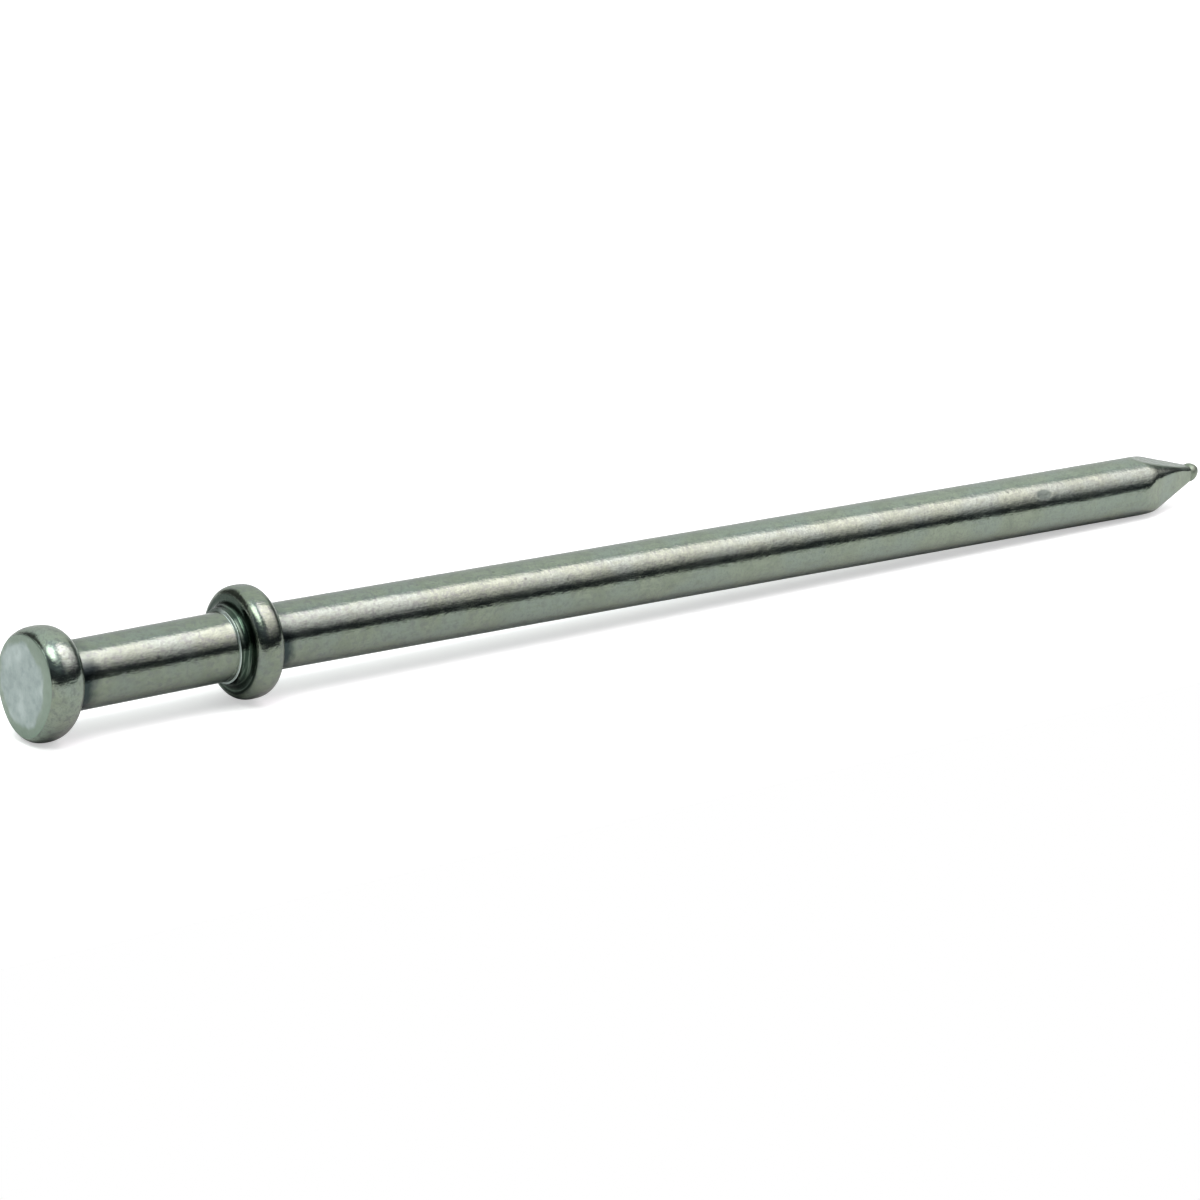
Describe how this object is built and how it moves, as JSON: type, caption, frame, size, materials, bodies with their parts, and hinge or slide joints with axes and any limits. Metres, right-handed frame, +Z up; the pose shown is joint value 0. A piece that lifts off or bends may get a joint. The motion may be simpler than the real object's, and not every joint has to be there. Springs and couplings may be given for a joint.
{
  "type": "double-headed nail",
  "caption": "Double-headed bright steel wire nail: striking head, short neck, rounded lower head that bears on the work, plain round shank and four-facet diamond point.",
  "frame": {"origin": "on the shank's axis at the flat bearing face under the lower head", "axes": "+X along the shank towards the point, +Z up as the nail lies, +Y completes a right-handed frame"},
  "size_m": [0.0916, 0.007, 0.0073],
  "materials": {
    "bright_steel_wire": "bright drawn steel wire, uncoated, with fine draw lines, small pits and matte die-marked head face"
  },
  "bodies": {
    "root": {"striking_head": "bright_steel_wire", "neck": "bright_steel_wire", "lower_head": "bright_steel_wire", "shank": "bright_steel_wire"}
  },
  "joints": []
}
